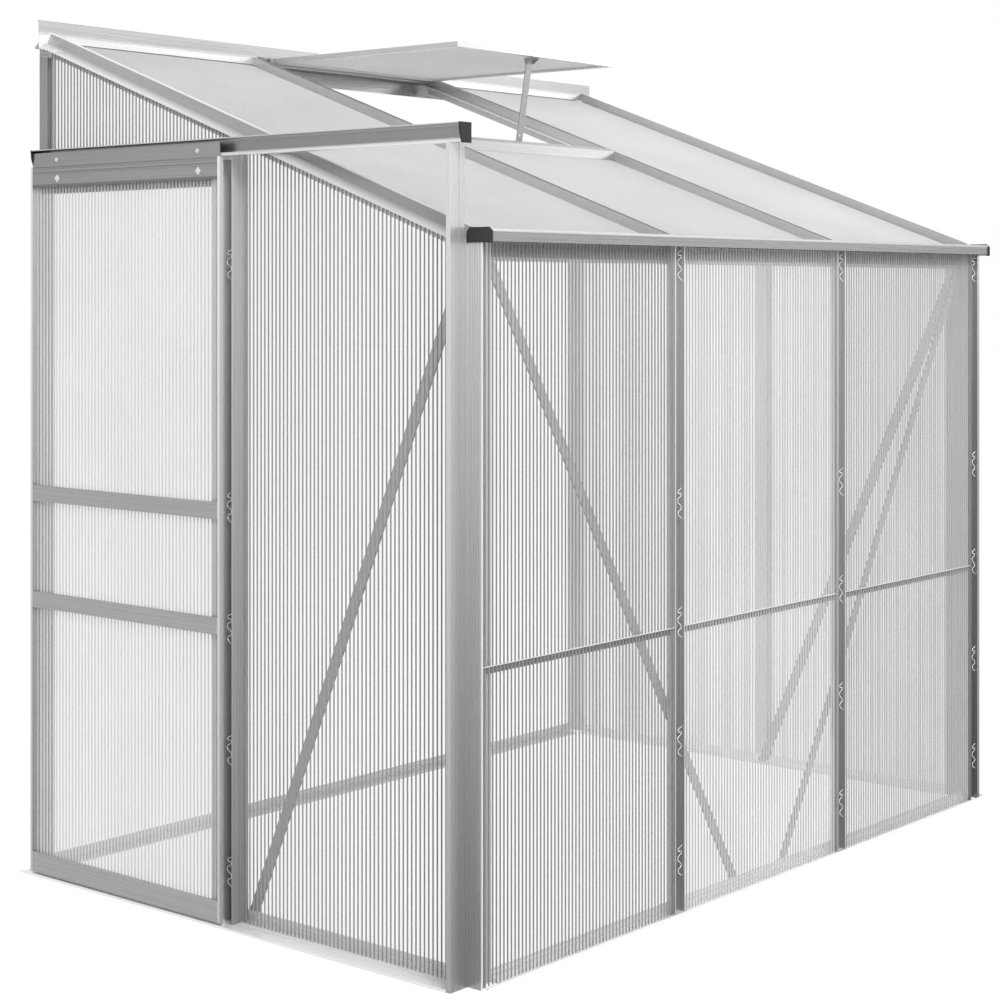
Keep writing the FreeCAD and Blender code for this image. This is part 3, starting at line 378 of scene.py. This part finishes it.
def over_bar(node, thin, stops):
    """Tones from the lower long edge of a sloping bar to its upper one, as (share, level) stops."""
    long_share = 0.7
    mesh = NODES[node].data
    places = [vertex.co for vertex in mesh.vertices]
    edges = [places[edge.vertices[1]] - places[edge.vertices[0]] for edge in mesh.edges]
    longest = max(edge.length for edge in edges)
    best = None
    for edge in edges:
        if edge.length < long_share * longest:
            continue
        direction = edge.cross(thin).normalized()
        if direction.z < 0:
            direction = -direction
        reach = [direction.dot(place) for place in places]
        low, high = min(reach), max(reach)
        if best is None or high - low < best[2] - best[1]:
            best = (direction, low, high)
    direction, low, high = best
    return tuple(direction), [(low + share * (high - low), level) for share, level in stops]


def face(start, end, edge, middle):
    """Stops over a face of one tone between two edges of another, each as wide as the bar's wall; the bars
    use it for painted highlights on their lips and painted shade on the face between them.
    """
    return [(start, edge), (start + WALL, middle), (end - WALL, middle), (end, edge)]


def make_uprights():
    # Painted light and shade on the uprights: darker at the foot and lighter upwards, with painted highlights
    # on the lit lips and edges
    shade_low_rise = upright([(0.1, SHADE), (1.3, PALE)])
    shade_low_bright_rise = upright([(0.1, PLAIN), (1.5, BRIGHT)])
    dress(aluminium("front_bars", "z", across("y", face(0.0, 0.024, BRIGHT, PLAIN)), shade_low_bright_rise, metal=0.3),
          "front_post_left", "front_post_right")
    # Painted shade on the jamb's outer cheek
    shaded_outer_cheek = past("y", 0.6325, 0.6305, upright([(0.1, SHADE), (1.45, PALE)]))
    dress(aluminium("jamb_bar", "z", across("x", face(-0.0235, 0.022, BRIGHT, PALE)), shade_low_bright_rise,
                    beyond=shaded_outer_cheek, metal=0.12), "door_jamb_post")
    dress(aluminium("gable_bar", "z", across("x", [(1.876, PLAIN), (1.9, PALE)])), "gable_post_right")
    # Painted highlights on the corner bars' lips, and over the corner post's whole front face
    corner_lit_lips = across("x", face(-0.0475, 0.0, BRIGHT, PALE))
    lit_front_face = past("y", 0.003, 0.001, upright([(0.0, BRIGHT), (1.35, BRIGHT)]))
    dress(aluminium("corner_bar", "z", corner_lit_lips, shade_low_rise, beyond=lit_front_face), "corner_post_front_left")
    dress(aluminium("support_bar", "z", corner_lit_lips, shade_low_rise), "track_support_post")
    # Painted light on the indoor side of the rear bars, lighter at the foot than the rest
    indoors = past("x", 0.004, 0.008, upright([(0.0, PLAIN), (1.0, PALE)]))
    dress(aluminium("rear_bars", "z", across("x", face(-0.024, 0.012, PALE, SHADE)), shade_low_rise, beyond=indoors),
          "corner_post_rear_left", "track_support_rear")
    dress(aluminium("right_corner_bars", "z", across("x", face(1.84, 1.9, BRIGHT, PLAIN)), shade_low_rise),
          "corner_post_front_right")
    dress(aluminium("right_rear_bars", "z", across("x", [(1.87, PALE), (1.9, PALE)])),
          "corner_post_rear_right")
    # Painted highlights on one edge of each door stile
    dress(aluminium("door_stiles", "z", across("y", [(0.63, PALE), (0.648, BRIGHT)]), shade_low_bright_rise),
          "door_stile_front")
    dress(aluminium("rear_stiles", "z", across("y", [(1.2, SHADE), (1.245, BRIGHT)]), shade_low_bright_rise),
          "door_stile_rear")


def make_rails():
    # Painted highlights on the gutter's lips, painted shade in the recess under its floor and on its trough
    # face, and the gutter painted darker towards its right end
    gutter_lit_lips_and_shade = upright([(1.318, BRIGHT), (1.321, DARK), (1.342, DARK), (1.345, SHADE), (1.364, SHADE),
                           (1.367, BRIGHT)])
    dress(aluminium("gutter_bar", "x", across("x", [(0.0, PALE), (1.9, SHADE)]), gutter_lit_lips_and_shade), "eave_gutter")
    # Painted light: the front base rail lighter than the rear one
    dress(aluminium("base_bars", "x", across("y", [(0.0, BRIGHT), (1.27, PLAIN)]), metal=0.25),
          "base_rail_front", "base_rail_rear")
    # Painted highlight on the ridge's lip, and the ridge painted darker towards its right end
    ridge_lit_lip = upright([(1.81, BRIGHT), (1.82, PLAIN), (1.844, PLAIN)])
    wall_face = past("y", 1.258, 1.262, upright([(1.7, PLAIN), (1.84, PLAIN)]))
    dress(aluminium("ridge_bar", "x", across("x", [(0.0, BRIGHT), (1.9, SHADE)]), ridge_lit_lip,
                    beyond=wall_face, grain=0.1), "ridge_rail")
    dress(aluminium("vent_rails", "x", across("x", [(0.6, SHADE), (1.25, SHADE)])),
          "vent_header", "vent_sill")
    strip_low, strip_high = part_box("front_joint_strips")
    # Painted highlight on the joint strips' upper edge, over a dim body
    strip_lit_edge = upright([(strip_low.z, DIM), (strip_high.z - WALL, DIM), (strip_high.z, BRIGHT)])
    dress(aluminium("strip_bars", "x", strip_lit_edge), "front_joint_strips")
    dress(aluminium("gable_rails", "y", across("y", [(0.0, BRIGHT), (1.27, BRIGHT)]), metal=0.15),
          "door_sill", "base_rail_right")
    dress(aluminium("vent_frame_bars", "xy", across("y", [(0.6, PLAIN), (1.27, PLAIN)])), "vent_frame")
    # Door head painted lighter at the front; painted highlight on the track's lower lip, painted shade on its
    # web and on the top rail's lower flange
    head_lit_front_run = across("y", [(0.0, BRIGHT), (1.27, PALE)])
    track_lit_lip_and_shade = upright([(1.526, BRIGHT), (1.536, SHADE), (1.554, SHADE), (1.56, PALE)])
    dress(aluminium("track_bar", "y", head_lit_front_run, track_lit_lip_and_shade), "door_track")
    rail_flange_shade = upright([(1.47, DIM), (1.484, DIM), (1.487, SHADE), (1.548, SHADE)])
    dress(aluminium("top_rail_bar", "y", head_lit_front_run, rail_flange_shade, grain=0.1), "door_top_rail")
    dress(aluminium("door_rails", "y", across("y", [(0.64, SHADE), (1.24, SHADE)]), grain=0.12),
          "door_cross_rail_upper", "door_cross_rail_lower", "door_bottom_rail")


def make_rafters():
    # Painted highlights on the rafters' lips and painted shade on the face between them; the left gable
    # rafter painted lighter towards the rear
    gable_lit_lips = [(0.3, BRIGHT), (0.6, SHADE), (0.93, SHADE), (0.96, BRIGHT)]
    gable_section = over_bar("rafter_gable_left", AXES["x"], gable_lit_lips)
    gable_lit_rear_run = across("y", [(0.0, PALE), (1.27, BRIGHT)])
    dress(aluminium("rafter_gable_left_bar", "yz", gable_section, gable_lit_rear_run), "rafter_gable_left")
    dress(aluminium("rafter_gable_right_bar", "yz", across("x", face(1.86, 1.9, PALE, PLAIN))),
          "rafter_gable_right")
    for node, middle in (("rafter_left", POST_LEFT), ("rafter_right", POST_RIGHT)):
        section = across("x", face(middle - 0.0125, middle + 0.0125, BRIGHT, PLAIN))
        dress(aluminium(node + "_bar", "yz", section), node)


def make_fittings():
    # Painted shade on the braces' edges, and the braces painted darker at the foot and lighter upwards
    brace_shaded_edges = [(0.0, DIM), (0.1, PLAIN), (0.9, PLAIN), (1.0, DIM)]
    brace_shade_low_rise = upright([(0.1, PLAIN), (1.2, BRIGHT)])
    for node, thin in (("brace_front_left", "y"), ("brace_front_right", "y"),
                       ("brace_gable_left", "x"), ("brace_gable_right", "x")):
        section = over_bar(node, AXES[thin], brace_shaded_edges)
        dress(aluminium(node + "_bar", "xyz", section, brace_shade_low_rise, grain=0.03), node)
    dress(aluminium("stay_bars", "xyz", across("y", [(0.2, SHADE), (1.1, SHADE)]), grain=0.03),
          "vent_stay", "vent_stay_bracket")
    # Fasteners painted darker low down and lighter higher up
    dress(aluminium("fasteners", "z", upright([(0.0, SHADE), (1.5, PALE)]), gloss=(0.12, 0.2)),
          "door_axles", "door_cap_nuts", "frame_bolts")
    dress(plastic("black_caps", 0.012, 0.03, 0.5), "gutter_caps")
    dress(plastic("track_cap_black", 0.004, 0.012, 0.65), "door_track_caps")
    dress(plastic("roller_plastic", 0.6, 0.75, 0.4), "door_roller_front", "door_roller_rear")
    soften([node for node in NODES if "pane" not in node and node != "glazing_clips"])


def make_clips():
    """Bent spring wires in the channels, as one piece in the place of the plain clips."""
    data = bpy.data.curves.new("wire_clips", "CURVE")
    data.dimensions = "3D"
    data.bevel_depth = WIRE_RADIUS
    data.bevel_resolution = 2
    data.resolution_u = 5
    rows = [
        ("x", POST_LEFT, CLIP_DEPTH, CLIP_SWING),
        ("x", POST_RIGHT, CLIP_DEPTH, CLIP_SWING),
        ("x", CORNER_CHANNEL, CLIP_DEPTH, CORNER_SWING),
        ("y", CLIP_DEPTH - JAMB_PROUD, JAMB, -CLIP_SWING),
        ("y", LENGTH - CLIP_DEPTH, GABLE_POST, CLIP_SWING),
    ]
    for axis, x, y, swing in rows:
        middle = CORNER + Vector((x, y, 0))
        for step in CLIP_STEPS:
            foot = Vector((0, 0, CLIP_FIRST + step * CLIP_PITCH))
            spline = data.splines.new("BEZIER")
            spline.bezier_points.add(len(CLIP_BENDS) - 1)
            for bezier, (side, up) in zip(spline.bezier_points, CLIP_BENDS):
                inset = AXES[axis] * ((side - CLIP_OFFSET) * swing)
                bezier.co = middle + foot + inset + Vector((0, 0, up * CLIP_HEIGHT))
                bezier.handle_left_type = "AUTO"
                bezier.handle_right_type = "AUTO"
    # Wires painted a little lighter higher up
    wire_shade_low_rise = upright([(0.0, 246), (1.365, 255)])
    data.materials.append(aluminium("clip_wire", "z", wire_shade_low_rise, gloss=(0.1, 0.18)))
    wires = add_piece("wire_clips", data, "frame")
    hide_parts("glazing_clips")


def make_stage():
    """Pale floor, just under the base rails."""
    floor_mesh = bpy.data.meshes.new("floor")
    reach = 30
    height = -0.0006
    corners = [(-reach, -reach), (reach, -reach), (reach, reach), (-reach, reach)]
    floor_mesh.from_pydata([(x, y, height) for x, y in corners], [], [(0, 1, 2, 3)])
    floor = bpy.data.objects.new("floor", floor_mesh)
    bpy.context.scene.collection.objects.link(floor)
    material = bpy.data.materials.new("pale_floor")
    material.use_nodes = True
    tree = material.node_tree
    shader = tree.nodes["Principled BSDF"]
    shader.inputs["Base Color"].default_value = (FLOOR_GREY, FLOOR_GREY, FLOOR_GREY, 1)
    shader.inputs["Roughness"].default_value = 0.9
    shader.inputs["Specular IOR Level"].default_value = 0
    glow = tree.nodes.new("ShaderNodeEmission")
    glow.inputs["Color"].default_value = (1, 1, 1, 1)
    glow.inputs["Strength"].default_value = FLOOR_GLOW
    share = tree.nodes.new("ShaderNodeMath")
    share.operation = "MULTIPLY"
    share.inputs[1].default_value = FLOOR_SHARE
    share.use_clamp = True
    tree.links.new(direct_ray(tree), share.inputs[0])
    mix = tree.nodes.new("ShaderNodeMixShader")
    tree.links.new(share.outputs[0], mix.inputs["Fac"])
    tree.links.new(shader.outputs[0], mix.inputs[1])
    tree.links.new(glow.outputs[0], mix.inputs[2])
    tree.links.new(mix.outputs[0], tree.nodes["Material Output"].inputs["Surface"])
    floor_mesh.materials.append(material)


def direct_ray(tree):
    """1 for rays that show the background: seen straight, in metal or through clear sheet."""
    path = tree.nodes.new("ShaderNodeLightPath")
    total = path.outputs["Is Camera Ray"]
    for name in ("Is Glossy Ray", "Is Transmission Ray"):
        add = tree.nodes.new("ShaderNodeMath")
        add.operation = "ADD"
        add.use_clamp = True
        tree.links.new(total, add.inputs[0])
        tree.links.new(path.outputs[name], add.inputs[1])
        total = add.outputs[0]
    return total


def make_world():
    world = bpy.data.worlds.new("studio")
    bpy.context.scene.world = world
    world.use_nodes = True
    tree = world.node_tree
    background = tree.nodes["Background"]
    background.inputs["Color"].default_value = (1, 1, 1, 1)
    strength = tree.nodes.new("ShaderNodeMapRange")
    strength.inputs["To Min"].default_value = DAYLIGHT
    strength.inputs["To Max"].default_value = 1.0
    tree.links.new(direct_ray(tree), strength.inputs["Value"])
    tree.links.new(strength.outputs["Result"], background.inputs["Strength"])


def add_lamp(name, place, aim, size, power):
    data = bpy.data.lights.new(name, "AREA")
    data.energy = power
    data.size = size
    lamp = bpy.data.objects.new(name, data)
    lamp.location = place
    lamp.rotation_euler = (Vector(aim) - Vector(place)).to_track_quat("-Z", "Y").to_euler()
    bpy.context.scene.collection.objects.link(lamp)


def make_lamps():
    """Soft studio light."""
    middle = (0, 0, 0.9)
    add_lamp("key", (-3.0, -5.0, 5.0), middle, 3.0, 260)
    add_lamp("fill", (5.0, -2.5, 3.0), middle, 3.0, 90)
    add_lamp("back", (-1.0, 5.0, 5.0), middle, 3.0, 120)


def make_camera():
    data = bpy.data.cameras.new("camera")
    data.sensor_width = SENSOR
    data.lens = FOCAL_PIXELS / PICTURE_SIZE * SENSOR
    data.shift_y = HORIZON_ROW / PICTURE_SIZE - 0.5
    camera = bpy.data.objects.new("camera", data)
    camera.location = CAMERA_PLACE
    camera.rotation_euler = (math.radians(90), 0, math.radians(CAMERA_TURN))
    bpy.context.scene.collection.objects.link(camera)
    bpy.context.scene.camera = camera


make_sheets()
make_uprights()
make_rails()
make_rafters()
make_fittings()
make_clips()
make_stage()
make_world()
make_lamps()
make_camera()

scene = bpy.context.scene
scene.view_settings.view_transform = "Standard"
scene.cycles.transparent_max_bounces = 64
